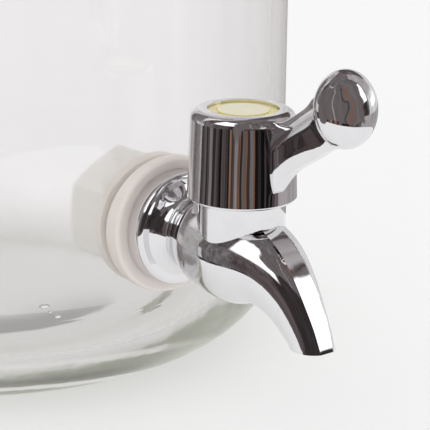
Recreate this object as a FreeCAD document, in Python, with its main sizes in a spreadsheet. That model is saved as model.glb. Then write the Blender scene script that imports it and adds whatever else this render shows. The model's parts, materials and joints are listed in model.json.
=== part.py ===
import FreeCAD, Part

import math
import os
import re

import Sketcher
from FreeCAD import Placement, Rotation, Vector

# A glass drink dispenser with a chrome-plated lever tap.
# Frame: millimetres, +Z up, origin on the jar's axis in the plane of its foot, tap towards -Y.
# Tap pieces are drawn in the tap's own frame, +X away from the jar and +Z up, then turned to -Y.

SIZES = {
    # jar
    "jar_radius": 85.8,
    "jar_wall": 4.5,
    "jar_floor": 8.0,
    "foot_width": 4.0,
    "foot_recess": 3.0,
    "heel_radius": 26.2,
    "floor_corner": 20.0,
    "wall_top": 219.0,
    "shoulder_radius": 25.0,
    "neck_radius": 50.0,
    "neck_fillet": 6.0,
    "neck_height": 16.0,
    "bead_height": 6.0,
    "bead_radius": 3.2,
    "bead_bulge": 2.1,
    # tap: where it sits and what clamps it
    "tap_height": 47.4,
    "jar_hole_radius": 8.75,
    "outer_washer_radius": 17.1,
    "outer_washer_thick": 2.8,
    "inner_washer_radius": 16.5,
    "inner_washer_thick": 3.4,
    "washer_round": 1.0,
    "stem_radius": 8.2,
    "stem_end": 2.8,
    "stem_chamfer": 1.0,
    "inlet_radius": 4.0,
    "nut_flats": 27.4,
    "nut_thick": 13.6,
    "nut_flange_radius": 14.8,
    "nut_flange_thick": 1.8,
    "nut_crown": 1.2,
    "thread_gap": 0.08,
    # tap body
    "flange_radius": 14.0,
    "flange_thick": 5.0,
    "flange_round": 1.2,
    "valve_reach": 25.6,
    "collar_radius": 10.4,
    "collar_top": 19.5,
    "land_width": 5.0,
    "ledge_height": 8.3,
    "ledge_width": 1.7,
    "outlet_bore": 4.2,
    "outlet_round": 0.4,
    # valve
    "chamber_radius": 6.6,
    "chamber_depth": 5.9,
    "sump_radius": 5.0,
    "sump_depth": 9.4,
    "running_gap": 0.06,
    "seat_height": 12.5,
    "seat_radius": 8.4,
    "port_seal_radius": 5.4,
    "port_seal_thick": 1.1,
    "plug_bore": 4.4,
    "plug_skirt": 5.2,
    "plug_cavity_top": 4.6,
    "plug_shoulder_radius": 8.1,
    "plug_shoulder_thick": 1.6,
    "plug_shaft_radius": 4.8,
    "plug_flats": 7.6,
    "ring_section": 0.8,
    "ring_groove": 2.0,
    "lower_ring_height": 7.2,
    "upper_ring_height": 10.2,
    "thrust_washer_thick": 0.6,
    "gland_nut_thick": 4.0,
    "gland_gap": 0.2,
    "gland_slot": 2.4,
    # handle
    "cap_bottom": 13.0,
    "cap_height": 21.3,
    "cap_foot_radius": 12.9,
    "cap_head_radius": 12.2,
    "cap_head_round": 2.4,
    "cap_lip_round": 0.6,
    "skirt_gap": 0.5,
    "cap_roof": 4.3,
    "boss_radius": 7.6,
    "boss_gap": 1.1,
    "socket_gap": 0.05,
    "lever_crown": 1.15,
    "crest_half": 0.8,
    "keel_half": 1.45,
    "tongue_half": 0.8,
    "tongue_height": 6.0,
    "tongue_depth": 5.0,
    "knob_out": 34.2,
    "knob_height": 40.6,
    "knob_tilt": 10.0,
    "ball_radius": 8.8,
    "ball_half_width": 8.2,
    "ball_thick": 11.0,
    "insert_radius": 8.3,
    "insert_gap": 0.1,
    "insert_recess": 1.6,
    "insert_thick": 1.0,
    "insert_step_radius": 6.1,
    "insert_step": 0.3,
    "screw_radius": 1.5,
    "screw_length": 9.0,
    "screw_head_radius": 3.0,
    "screw_head_thick": 2.1,
    "screw_gap": 0.1,
    "screw_pocket": 3.5,
    "screw_web": 2.5,
    "screw_washer_thick": 0.6,
    # lid
    "lid_sheet": 1.2,
    "lid_gap": 0.8,
    "lid_skirt": 13.0,
    "lid_dome": 7.0,
    "lid_corner": 4.0,
    "seal_thick": 2.0,
    "seal_gap": 0.2,
    "seal_lip": 6.0,
    "lid_screw_radius": 2.5,
    "lid_screw_length": 14.0,
    "lid_screw_head_radius": 5.0,
    "lid_screw_head_thick": 2.6,
    "lid_washer_radius": 7.0,
    "lid_washer_thick": 1.2,
    "knob_foot_radius": 8.5,
    "knob_foot_thick": 2.5,
    "knob_neck_radius": 5.5,
    "knob_neck_height": 9.0,
    "knob_radius": 14.0,
    "knob_head_height": 24.0,
    "knob_head_round": 4.5,
}

# Waist, belly and spout, as stations along the flow: distance out, height, tilt, radius, flat land
SPOUT_STATIONS = [
    (4.2, 0.0, 0.0, 12.2, 0.25),
    (6.0, 0.0, 0.0, 9.8, 0.25),
    (8.6, 0.0, 0.0, 8.5, 0.25),
    (11.4, 0.0, 0.0, 9.5, 0.25),
    (14.8, 0.0, 0.0, 11.1, 0.3),
    (20.0, -0.5, 3.0, 11.6, 0.5),
    (26.0, -1.2, 6.0, 11.6, 0.8),
    (32.3, -1.9, 15.0, 10.6, 1.0),
    (37.8, -3.3, 30.0, 8.9, 1.0),
    (42.3, -6.0, 42.0, 7.4, 1.0),
    (46.4, -10.0, 56.0, 6.2, 0.95),
    (49.6, -14.0, 71.0, 5.5, 0.85),
    (51.4, -17.0, 90.0, 5.25, 0.75),
]

# The passage inside the spout: distance out, height, tilt
PASSAGE_STATIONS = [
    (25.6, -5.6, 0.0),
    (32.0, -5.4, 8.0),
    (37.6, -5.8, 24.0),
    (42.3, -7.5, 42.0),
    (46.4, -10.6, 58.0),
    (49.6, -14.2, 74.0),
    (51.4, -17.1, 90.0),
]

# Lever blade, from inside the cap out to the knob: distance out, height, tilt up, half width and
# half height
LEVER_STATIONS = [
    (9.6, 24.6, 0.0, 2.5, 8.6),
    (12.6, 24.9, 0.7, 2.3, 8.1),
    (15.8, 27.5, 5.4, 2.0, 6.4),
    (19.5, 30.2, 15.5, 1.9, 5.6),
    (23.5, 32.7, 27.5, 1.8, 5.5),
    (27.6, 35.7, 38.0, 1.7, 6.1),
]

# Neck of the knob, from the lever's end to the middle of the ball, in the same terms
NECK_STATIONS = [
    (27.6, 35.7, 38.0, 1.7, 6.1),
    (29.9, 37.4, 32.0, 2.0, 6.4),
    (33.2, 39.7, 22.0, 2.6, 7.4),
]

FULL_TURN = 360.0
TAP_TURN = -90.0

doc = FreeCAD.newDocument("cocktail_dispenser")
dims = doc.addObject("Spreadsheet::Sheet", "dims")


def add_sizes(table):
    """Write each size on a row of the sheet: its name, its value and the alias the formulas use."""
    start = len(dims.getNonEmptyCells()) // 2 + 1
    for row, (alias, size) in enumerate(table.items(), start):
        dims.set(f"A{row}", alias)
        dims.set(f"B{row}", str(size))
        dims.setAlias(f"B{row}", alias)


def station_sizes(prefix, fields, stations):
    """Name every number of a list of stations, such as spout_3_radius."""
    named = {}
    for index, station in enumerate(stations):
        for field, size in zip(fields, station):
            named[f"{prefix}_{index}_{field}"] = size
    return named


SIZES.update(station_sizes("spout", ("out", "height", "tilt", "radius", "land"), SPOUT_STATIONS))
SIZES.update(station_sizes("passage", ("out", "height", "tilt"), PASSAGE_STATIONS))
SIZES.update(station_sizes("lever", ("out", "height", "tilt", "half", "rise"), LEVER_STATIONS))
SIZES.update(station_sizes("neck", ("out", "height", "tilt", "half", "rise"), NECK_STATIONS))
add_sizes(SIZES)
doc.recompute()


def formula(text):
    """Turn plain size names into references to the sheet."""
    return re.sub(r"[a-z][a-z_0-9]*", lambda word: "dims." + word[0] if word[0] in SIZES else word[0], text)


def value(text):
    return float(dims.evalExpression(formula(text)))


def bind(thing, path, text):
    thing.setExpression(path, formula(text))


# ---------------------------------------------------------------- drawing helpers

def new_body(label):
    body = doc.addObject("PartDesign::Body", label)
    body.Label = label
    return body


def new_sketch(body, role, name, lift="0", raise_by="0", tilt="0"):
    """A sketch on an origin plane, moved along its normal and its own y, and tilted about its x."""
    sketch = body.newObject("Sketcher::SketchObject", name)
    plane = next(feature for feature in body.Origin.OriginFeatures if feature.Role == role)
    sketch.AttachmentSupport = [(plane, "")]
    sketch.MapMode = "FlatFace"
    turn = Rotation(Vector(1, 0, 0), value(tilt))
    sketch.AttachmentOffset = Placement(Vector(0, value(raise_by), value(lift)), turn)
    bind(sketch, "AttachmentOffset.Base.z", lift)
    bind(sketch, "AttachmentOffset.Base.y", raise_by)
    bind(sketch, "AttachmentOffset.Rotation.Angle", tilt)
    return sketch


def constrain(sketch, kind, first, text):
    """Add one dimension and bind it to its formula."""
    index = sketch.addConstraint(Sketcher.Constraint(kind, *first, value(text)))
    bind(sketch, f"Constraints[{index}]", text)


def place_point(sketch, edge, end, x_text, y_text):
    for kind, axis, text in (("DistanceX", -2, x_text), ("DistanceY", -1, y_text)):
        if text == "0":
            sketch.addConstraint(Sketcher.Constraint("PointOnObject", edge, end, axis))
        else:
            constrain(sketch, kind, (-1, 1, edge, end), text)


def add_outline(sketch, points, arcs=None):
    """Closed outline through points. arcs maps an edge to (radius, turn, larger): turn is 1 for an arc
    that runs counter-clockwise and -1 for clockwise, larger is True for more than half a circle."""
    arcs = arcs or {}
    corners = [Vector(value(x_text), value(y_text), 0) for x_text, y_text in points]
    ends = []
    edges = []
    for index, corner in enumerate(corners):
        following = corners[(index + 1) % len(corners)]
        if index not in arcs:
            edges.append(sketch.addGeometry(Part.LineSegment(corner, following), False))
            ends.append((1, 2))
            continue
        radius_text, turn, larger = arcs[index]
        radius = value(radius_text)
        chord = following - corner
        left = Vector(-chord.y, chord.x, 0).normalize()
        offset = math.sqrt(max(radius ** 2 - (chord.Length / 2) ** 2, 0))
        centre = (corner + following) / 2 + left * offset * turn * (-1 if larger else 1)
        first, last = (corner, following) if turn > 0 else (following, corner)
        begin = math.atan2(first.y - centre.y, first.x - centre.x)
        finish = math.atan2(last.y - centre.y, last.x - centre.x)
        if finish <= begin:
            finish += 2 * math.pi
        circle = Part.Circle(centre, Vector(0, 0, 1), radius)
        edges.append(sketch.addGeometry(Part.ArcOfCircle(circle, begin, finish), False))
        ends.append((1, 2) if turn > 0 else (2, 1))
    for index, edge in enumerate(edges):
        following = (index + 1) % len(edges)
        join = (edge, ends[index][1], edges[following], ends[following][0])
        sketch.addConstraint(Sketcher.Constraint("Coincident", *join))
    for index, (x_text, y_text) in enumerate(points):
        place_point(sketch, edges[index], ends[index][0], x_text, y_text)
    for index, (radius_text, turn, larger) in arcs.items():
        constrain(sketch, "Radius", (edges[index],), radius_text)
    return sketch


def add_circle(sketch, radius_text, x_text="0", y_text="0"):
    centre = Vector(value(x_text), value(y_text), 0)
    edge = sketch.addGeometry(Part.Circle(centre, Vector(0, 0, 1), value(radius_text)), False)
    constrain(sketch, "Radius", (edge,), radius_text)
    place_point(sketch, edge, 3, x_text, y_text)
    return edge


def add_thirds(sketch, radius_text):
    """A circle as three arcs, so that a loft through several keeps its seams in line."""
    angles = (30, 150, 270)
    points = [(f"{radius_text} * cos({angle})", f"{radius_text} * sin({angle})") for angle in angles]
    points[2] = ("0", f"-{radius_text}")
    return add_outline(sketch, points, {edge: (radius_text, 1, False) for edge in range(3)})


def turned(body, name, points, arcs=None, axis="V_Axis"):
    """A solid of revolution from an outline in the XZ plane."""
    profile = add_outline(new_sketch(body, "XZ_Plane", name + "_profile"), points, arcs)
    feature = body.newObject("PartDesign::Revolution", name)
    feature.Profile = profile
    feature.ReferenceAxis = (profile, [axis])
    feature.Angle = FULL_TURN
    profile.Visibility = False
    return feature


def grooved(body, name, points, arcs=None, axis="V_Axis"):
    """The same outline cut away instead of added."""
    profile = add_outline(new_sketch(body, "XZ_Plane", name + "_profile"), points, arcs)
    feature = body.newObject("PartDesign::Groove", name)
    feature.Profile = profile
    feature.ReferenceAxis = (profile, [axis])
    feature.Angle = FULL_TURN
    return feature


def padded(body, name, profile, length_text, reverse=False):
    feature = body.newObject("PartDesign::Pad", name)
    feature.Profile = profile
    feature.Length = value(length_text)
    bind(feature, "Length", length_text)
    feature.Reversed = reverse
    return feature


def pocketed(body, name, profile, length_text, reverse=False, both=False):
    """Cut a profile away and make sure that it took material."""
    doc.recompute()
    before = body.Shape.Volume
    feature = body.newObject("PartDesign::Pocket", name)
    feature.Profile = profile
    feature.Length = value(length_text)
    bind(feature, "Length", length_text)
    feature.Midplane = both
    feature.Reversed = reverse
    doc.recompute()
    if not body.Shape.Volume < before:
        raise RuntimeError(f"{name} cut nothing from {body.Label}")
    return feature


def lofted(body, name, profiles, kind="PartDesign::AdditiveLoft"):
    feature = body.newObject(kind, name)
    feature.Profile = profiles[0]
    feature.Sections = profiles[1:]
    feature.Ruled = False
    feature.Closed = False
    return feature


def ring_edges(shape, radius, height, axis):
    """Names of the circular edges of a given radius, a given distance along an axis."""
    names = []
    for index, edge in enumerate(shape.Edges, 1):
        if not isinstance(edge.Curve, Part.Circle) or abs(edge.Curve.Radius - radius) > 0.01:
            continue
        along = edge.Curve.Center.dot(axis)
        if abs(along - height) < 0.01 and (edge.Curve.Center - axis * along).Length < 0.01:
            names.append(f"Edge{index}")
    return names


def rounded(body, name, rings, radius_text, kind="PartDesign::Fillet", axis=Vector(0, 0, 1)):
    """Round or chamfer the circular edges at (radius, height) pairs."""
    doc.recompute()
    base = body.Tip
    names = []
    for ring_radius, ring_height in rings:
        found = ring_edges(base.Shape, value(ring_radius), value(ring_height), axis)
        if not found:
            raise RuntimeError(f"{name}: no edge of radius {ring_radius} at {ring_height} on {body.Label}")
        names += found
    feature = body.newObject(kind, name)
    feature.Base = (base, names)
    size = "Radius" if kind.endswith("Fillet") else "Size"
    setattr(feature, size, value(radius_text))
    bind(feature, size, radius_text)
    return feature


def set_on_jar(body, out_text="0", height_text="0"):
    """Place a tap piece: out from the flange's back face along the stem, and up from the stem's axis."""
    body.Placement = Placement(Vector(0, 0, 0), Rotation(Vector(0, 0, 1), TAP_TURN))
    bind(body, "Placement.Base.y", f"-(jar_radius + outer_washer_thick + {out_text})")
    bind(body, "Placement.Base.z", f"tap_height + {height_text}")


def set_on_valve(body, height_text="0"):
    set_on_jar(body, "valve_reach", height_text)


def set_on_lid(body, height_text="0"):
    bind(body, "Placement.Base.z", f"{RIM_TOP} + seal_gap + {height_text}")


RIM_TOP = "(wall_top + shoulder_radius + neck_fillet + neck_height)"
INNER_FACE = "(outer_washer_thick + jar_wall)"
NUT_SEAT = f"({INNER_FACE} + inner_washer_thick)"
STEM_LENGTH = f"({NUT_SEAT} + nut_thick + stem_end)"


# ---------------------------------------------------------------- jar

def make_glass_jar():
    """Straight wall on a wide round heel, pushed-up bottom, round shoulder, short neck, beaded rim."""
    body = new_body("glass_jar")
    shoulder = "(wall_top + shoulder_radius)"
    neck_inside = "(neck_radius - jar_wall)"
    points = [
        ("0", "foot_recess"),
        ("jar_radius - heel_radius - foot_width - foot_recess", "foot_recess"),
        ("jar_radius - heel_radius - foot_width", "0"),
        ("jar_radius - heel_radius", "0"),
        ("jar_radius", "heel_radius"),
        ("jar_radius", "wall_top"),
        ("jar_radius - shoulder_radius", shoulder),
        ("neck_radius + neck_fillet", shoulder),
        ("neck_radius", f"{shoulder} + neck_fillet"),
        ("neck_radius", f"{RIM_TOP} - bead_height"),
        ("neck_radius", RIM_TOP),
        (neck_inside, RIM_TOP),
        (neck_inside, f"{shoulder} + neck_fillet"),
        ("neck_radius + neck_fillet", f"{shoulder} - jar_wall"),
        ("jar_radius - shoulder_radius", f"{shoulder} - jar_wall"),
        ("jar_radius - jar_wall", "wall_top"),
        ("jar_radius - jar_wall", "jar_floor + floor_corner"),
        ("jar_radius - jar_wall - floor_corner", "jar_floor"),
        ("0", "jar_floor"),
    ]
    arcs = {
        3: ("heel_radius", 1, False),
        5: ("shoulder_radius", 1, False),
        7: ("neck_fillet", -1, False),
        9: ("bead_radius", 1, False),
        12: ("neck_fillet + jar_wall", 1, False),
        14: ("shoulder_radius - jar_wall", -1, False),
        16: ("floor_corner", -1, False),
    }
    turned(body, "glass", points, arcs)
    hole = new_sketch(body, "XZ_Plane", "tap_hole_profile")
    add_circle(hole, "jar_hole_radius", "0", "tap_height")
    pocketed(body, "tap_hole", hole, "jar_radius", reverse=True)
    return body


# ---------------------------------------------------------------- tap clamped in the jar's wall

def make_outer_washer():
    """Soft washer, flat towards the flange and hollowed to the jar's outside."""
    body = new_body("outer_washer")
    outline = [
        ("-(outer_washer_thick * 2 + washer_round)", "jar_hole_radius"),
        ("-(outer_washer_thick * 2 + washer_round)", "outer_washer_radius"),
        ("-washer_round", "outer_washer_radius"),
        ("0", "outer_washer_radius - washer_round"),
        ("0", "jar_hole_radius"),
    ]
    turned(body, "washer", outline, {2: ("washer_round", -1, False)}, "H_Axis")
    wall = new_sketch(body, "XY_Plane", "jar_outside", lift="-outer_washer_radius * 2")
    add_circle(wall, "jar_radius", "-(jar_radius + outer_washer_thick)")
    pocketed(body, "jar_curve", wall, "outer_washer_radius * 4", reverse=True)
    set_on_jar(body)
    return body


def make_inner_washer():
    """Soft washer crowned to the jar's inside, flat towards the nut."""
    body = new_body("inner_washer")
    outline = [
        (f"-{NUT_SEAT}", "stem_radius + thread_gap"),
        (f"-{NUT_SEAT}", "inner_washer_radius"),
        (f"-{INNER_FACE}", "inner_washer_radius"),
        (f"-{INNER_FACE}", "stem_radius + thread_gap"),
    ]
    turned(body, "washer", outline, None, "H_Axis")
    inside = new_sketch(body, "XY_Plane", "jar_inside", lift="-inner_washer_radius * 2")
    centre = "-(jar_radius + outer_washer_thick)"
    add_circle(inside, "jar_radius - jar_wall", centre)
    add_circle(inside, "jar_radius * 2", centre)
    pocketed(body, "jar_curve", inside, "inner_washer_radius * 4", reverse=True)
    set_on_jar(body)
    return body


def make_stem_nut():
    """Long hexagonal plastic nut with a round face flange and turned-down corners."""
    body = new_body("stem_nut")
    seat = new_sketch(body, "YZ_Plane", "hexagon", lift=f"-({NUT_SEAT} + nut_thick)")
    corner = "nut_flats / sqrt(3)"
    points = [(f"{corner} * cos({angle})", f"{corner} * sin({angle})") for angle in range(30, 390, 60)]
    points = [(x if index not in (1, 4) else "0", y) for index, (x, y) in enumerate(points)]
    add_outline(seat, points)
    padded(body, "hexagon_pad", seat, "nut_thick")
    flange = new_sketch(body, "YZ_Plane", "flange", lift=f"-({NUT_SEAT} + nut_flange_thick)")
    add_circle(flange, "nut_flange_radius")
    padded(body, "flange_pad", flange, "nut_flange_thick")
    crown = [
        (f"-({NUT_SEAT} + nut_thick)", "nut_flats / 2"),
        (f"-({NUT_SEAT} + nut_thick)", "nut_flats"),
        (f"-({NUT_SEAT} + nut_thick / 2)", "nut_flats"),
        (f"-({NUT_SEAT} + nut_thick - nut_crown)", "nut_flats / sqrt(3)"),
    ]
    grooved(body, "corner_chamfer", crown, None, "H_Axis")
    bore = new_sketch(body, "YZ_Plane", "bore_profile", lift=f"-({NUT_SEAT} + nut_thick)")
    add_circle(bore, "stem_radius + thread_gap")
    pocketed(body, "bore", bore, "nut_thick", reverse=True)
    set_on_jar(body)
    return body


# ---------------------------------------------------------------- tap body

def spout_section(body, index):
    """One station of the spout: a circle with a flat land on its upper side."""
    name = f"spout_{index}"
    sketch = new_sketch(body, "YZ_Plane", name, f"{name}_out", f"{name}_height", f"{name}_tilt")
    half_land = f"land_width * {name}_land / 2"
    land_height = f"sqrt({name}_radius * {name}_radius - ({half_land}) * ({half_land}))"
    points = [(f"-{half_land}", land_height), (half_land, land_height)]
    return add_outline(sketch, points, {1: (f"{name}_radius", -1, True)})


def passage_section(body, index):
    name = f"passage_{index}"
    sketch = new_sketch(body, "YZ_Plane", name, f"{name}_out", f"{name}_height", f"{name}_tilt")
    return add_thirds(sketch, "outlet_bore")


def round_pocket(body, name, radius_text, top_text, depth_text):
    """A bore down the valve's axis."""
    profile = new_sketch(body, "XY_Plane", name + "_profile", lift=top_text)
    add_circle(profile, radius_text, "valve_reach")
    return pocketed(body, name, profile, depth_text)


def make_tap_body():
    """One moulding: threaded stem, flange, waist, belly, valve collar and curved spout."""
    body = new_body("tap_body")
    shell = [
        (f"-{STEM_LENGTH}", "0"),
        (f"-{STEM_LENGTH}", "stem_radius"),
        ("0", "stem_radius"),
        ("0", "flange_radius"),
        ("flange_thick", "flange_radius"),
        ("flange_thick", "0"),
    ]
    turned(body, "stem_and_flange", shell, None, "H_Axis")
    along = Vector(1, 0, 0)
    stem_end = [("stem_radius", f"-{STEM_LENGTH}")]
    rounded(body, "stem_lead", stem_end, "stem_chamfer", "PartDesign::Chamfer", along)
    rounded(body, "flange_edge", [("flange_radius", "flange_thick")], "flange_round", axis=along)
    lofted(body, "waist_belly_spout", [spout_section(body, index) for index in range(len(SPOUT_STATIONS))])

    ledge = new_sketch(body, "XY_Plane", "ledge_profile", lift="ledge_height")
    add_circle(ledge, "collar_radius + ledge_width", "valve_reach")
    pocketed(body, "collar_ledge", ledge, "collar_top", reverse=True)
    collar = new_sketch(body, "XY_Plane", "collar_profile")
    add_circle(collar, "collar_radius", "valve_reach")
    padded(body, "collar", collar, "collar_top")

    round_pocket(body, "gland_seat", "seat_radius", "collar_top", "collar_top - seat_height")
    round_pocket(body, "chamber", "chamber_radius", "seat_height", "seat_height + chamber_depth")
    round_pocket(body, "sump", "sump_radius", "-chamber_depth", "sump_depth - chamber_depth")
    inlet = new_sketch(body, "YZ_Plane", "inlet_profile", lift=f"-{STEM_LENGTH}")
    add_circle(inlet, "inlet_radius")
    pocketed(body, "inlet", inlet, f"{STEM_LENGTH} + valve_reach", reverse=True)
    seal_back = "valve_reach - chamber_radius - port_seal_thick"
    seal_seat = new_sketch(body, "YZ_Plane", "port_seal_seat_profile", lift=seal_back)
    add_circle(seal_seat, "port_seal_radius")
    pocketed(body, "port_seal_seat", seal_seat, "chamber_radius", reverse=True)
    passages = [passage_section(body, index) for index in range(len(PASSAGE_STATIONS))]
    lofted(body, "spout_passage", passages, "PartDesign::SubtractiveLoft")
    set_on_jar(body)
    return body


# ---------------------------------------------------------------- valve

GLAND_FOOT = "(seat_height + plug_shoulder_thick + thrust_washer_thick + gland_gap * 2)"
GLAND_TOP = f"({GLAND_FOOT} + gland_nut_thick)"


def make_port_seal():
    """Soft ring round the inlet port, hollowed to the rotor's chamber."""
    body = new_body("port_seal")
    back = "valve_reach - chamber_radius - port_seal_thick"
    profile = new_sketch(body, "YZ_Plane", "ring", lift=back)
    add_circle(profile, "port_seal_radius - thread_gap")
    add_circle(profile, "inlet_radius")
    padded(body, "ring_pad", profile, "chamber_radius")
    chamber = new_sketch(body, "XY_Plane", "chamber_profile", lift="port_seal_radius * 2")
    add_circle(chamber, "chamber_radius", "valve_reach")
    pocketed(body, "chamber_curve", chamber, "port_seal_radius * 4")
    set_on_jar(body)
    return body


def make_gland_nut():
    """Ring nut in the collar's mouth, with two spanner slots, that holds the rotor down."""
    body = new_body("gland_nut")
    profile = new_sketch(body, "XY_Plane", "ring", lift=GLAND_FOOT)
    add_circle(profile, "seat_radius - thread_gap")
    add_circle(profile, "plug_shaft_radius + gland_gap * 2")
    padded(body, "ring_pad", profile, "gland_nut_thick")
    slots = new_sketch(body, "YZ_Plane", "slots", lift="-seat_radius")
    corners = [
        ("-gland_slot / 2", f"{GLAND_TOP} - gland_nut_thick / 3"),
        ("gland_slot / 2", f"{GLAND_TOP} - gland_nut_thick / 3"),
        ("gland_slot / 2", GLAND_TOP),
        ("-gland_slot / 2", GLAND_TOP),
    ]
    add_outline(slots, corners)
    pocketed(body, "spanner_slots", slots, "seat_radius * 2", reverse=True)
    set_on_valve(body)
    return body


def make_valve_plug():
    """Rotor: cup with two side windows, two ring grooves, a shoulder and a shaft with two flats."""
    body = new_body("valve_plug")
    rotor = "chamber_radius - running_gap"
    groove_floor = f"{rotor} - ring_section * 2"
    shoulder = "(seat_height + running_gap)"
    shaft_top = "cap_bottom + cap_height - insert_recess - screw_pocket - screw_web"
    points = [
        ("plug_bore", "-plug_skirt"),
        (rotor, "-plug_skirt"),
    ]
    for ring in ("lower_ring_height", "upper_ring_height"):
        points += [
            (rotor, f"{ring} - ring_groove / 2"),
            (groove_floor, f"{ring} - ring_groove / 2"),
            (groove_floor, f"{ring} + ring_groove / 2"),
            (rotor, f"{ring} + ring_groove / 2"),
        ]
    points += [
        (rotor, shoulder),
        ("plug_shoulder_radius", shoulder),
        ("plug_shoulder_radius", f"{shoulder} + plug_shoulder_thick"),
        ("plug_shaft_radius", f"{shoulder} + plug_shoulder_thick"),
        ("plug_shaft_radius", shaft_top),
        ("screw_radius + thread_gap", shaft_top),
        ("screw_radius + thread_gap", f"{shaft_top} - screw_length"),
        ("0", f"{shaft_top} - screw_length"),
        ("0", "plug_cavity_top"),
        ("plug_bore", "plug_cavity_top"),
    ]
    turned(body, "rotor", points)
    windows = new_sketch(body, "XZ_Plane", "windows_profile")
    add_circle(windows, "inlet_radius")
    pocketed(body, "windows", windows, "chamber_radius * 4", both=True)
    flat_foot = f"{GLAND_TOP} + running_gap"
    for side, name in ((1, "right_flat"), (-1, "left_flat")):
        flat = new_sketch(body, "XZ_Plane", name + "_profile")
        near, far = f"{side} * plug_flats / 2", f"{side} * plug_shaft_radius * 2"
        flat_top = f"{shaft_top} + plug_flats"
        add_outline(flat, [(near, flat_foot), (far, flat_foot), (far, flat_top), (near, flat_top)])
        pocketed(body, name, flat, "plug_shaft_radius * 4", both=True)
    set_on_valve(body)
    return body


def make_plug_ring(label, height_text):
    """O-ring in its groove."""
    ring = doc.addObject("Part::Torus", label)
    ring.Label = label
    bind(ring, "Radius1", "chamber_radius - running_gap - ring_section")
    bind(ring, "Radius2", "ring_section")
    set_on_valve(ring, height_text)
    return ring


def make_thrust_washer():
    body = new_body("thrust_washer")
    profile = new_sketch(body, "XY_Plane", "ring", lift="seat_height + running_gap + plug_shoulder_thick")
    add_circle(profile, "plug_shoulder_radius")
    add_circle(profile, "plug_shaft_radius + thread_gap")
    padded(body, "ring_pad", profile, "thrust_washer_thick")
    set_on_valve(body)
    return body


# ---------------------------------------------------------------- handle

CAP_TOP = "(cap_bottom + cap_height)"
INSERT_SEAT = f"({CAP_TOP} - insert_recess)"
SCREW_SEAT = f"({INSERT_SEAT} - screw_pocket)"
SOCKET_TOP = f"({SCREW_SEAT} - screw_web)"


def blade_section(body, name):
    """One station of the lever's blade: flanks that curve in to a round crest and to a flat keel."""
    sketch = new_sketch(body, "YZ_Plane", name, f"{name}_out", f"{name}_height", f"-{name}_tilt")
    flank_top = f"{name}_rise / 6"
    flank_foot = f"-{name}_rise / 3"
    tuck = f"({name}_half - keel_half)"
    fall = f"({name}_rise * 2 / 3)"
    lean = f"({name}_half - crest_half)"
    climb = f"({name}_rise * 5 / 6)"
    points = [
        ("-keel_half", f"-{name}_rise"),
        ("keel_half", f"-{name}_rise"),
        (f"{name}_half", flank_foot),
        (f"{name}_half", flank_top),
        ("crest_half", f"{name}_rise"),
        ("-crest_half", f"{name}_rise"),
        (f"-{name}_half", flank_top),
        (f"-{name}_half", flank_foot),
    ]
    lower = (f"({tuck} * {tuck} + {fall} * {fall}) / (2 * {tuck})", 1, False)
    upper = (f"({lean} * {lean} + {climb} * {climb}) / (2 * {lean})", 1, False)
    arcs = {1: lower, 3: upper, 4: ("crest_half * lever_crown", 1, False), 5: upper, 7: lower}
    return add_outline(sketch, points, arcs)


def tongue_outline(body, gap_text):
    """Outline of the knob's tongue on the lever's end face."""
    end = f"lever_{len(LEVER_STATIONS) - 1}"
    sketch = new_sketch(body, "YZ_Plane", "tongue_profile", f"{end}_out", f"{end}_height", f"-{end}_tilt")
    half, rise = f"(tongue_half + {gap_text})", f"(tongue_height / 2 + {gap_text})"
    corners = [(f"-{half}", f"-{rise}"), (half, f"-{rise}"), (half, rise), (f"-{half}", rise)]
    return add_outline(sketch, corners)


def make_handle_cap():
    """Tapered cap over the collar with a lever arm whose keel runs down its front."""
    body = new_body("handle_cap")
    outer = [
        ("0", "cap_bottom"),
        ("cap_foot_radius", "cap_bottom"),
        ("cap_head_radius", CAP_TOP),
        ("0", CAP_TOP),
    ]
    turned(body, "cap", outer)
    rounded(body, "cap_head_edge", [("cap_head_radius", CAP_TOP)], "cap_head_round")
    rounded(body, "cap_lip", [("cap_foot_radius", "cap_bottom")], "cap_lip_round")
    lofted(body, "lever", [blade_section(body, f"lever_{index}") for index in range(len(LEVER_STATIONS))])
    pocketed(body, "tongue_slot", tongue_outline(body, "socket_gap"), "tongue_depth + socket_gap")
    inner_radius = "collar_radius + skirt_gap"
    boss_foot = f"{GLAND_TOP} + boss_gap"
    cavity = [
        ("0", "cap_bottom"),
        (inner_radius, "cap_bottom"),
        (inner_radius, f"{CAP_TOP} - cap_roof"),
        ("boss_radius", f"{CAP_TOP} - cap_roof"),
        ("boss_radius", boss_foot),
        ("0", boss_foot),
    ]
    grooved(body, "cavity", cavity)
    recess = [
        ("0", INSERT_SEAT),
        ("screw_head_radius + screw_gap * 4", INSERT_SEAT),
        ("insert_radius + insert_gap", INSERT_SEAT),
        ("insert_radius + insert_gap", CAP_TOP),
        ("0", CAP_TOP),
    ]
    grooved(body, "insert_seat", recess)
    pocket = [
        ("0", SCREW_SEAT),
        ("screw_head_radius + screw_gap * 4", SCREW_SEAT),
        ("screw_head_radius + screw_gap * 4", INSERT_SEAT),
        ("0", INSERT_SEAT),
    ]
    grooved(body, "screw_pocket_cut", pocket)
    hole = new_sketch(body, "XY_Plane", "screw_hole_profile", lift=SCREW_SEAT)
    add_circle(hole, "screw_radius + screw_gap")
    pocketed(body, "screw_hole", hole, "screw_web * 2")
    socket = new_sketch(body, "XY_Plane", "socket_profile", lift=SOCKET_TOP)
    shaft = "plug_shaft_radius + socket_gap"
    flat = "plug_flats / 2 + socket_gap"
    reach = f"sqrt(({shaft}) * ({shaft}) - ({flat}) * ({flat}))"
    corners = [(f"-({flat})", f"-{reach}"), (flat, f"-{reach}"), (flat, reach), (f"-({flat})", reach)]
    add_outline(socket, corners, {0: (shaft, 1, False), 2: (shaft, 1, False)})
    pocketed(body, "socket", socket, f"{SOCKET_TOP} - {boss_foot}")
    set_on_valve(body)
    return body


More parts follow.
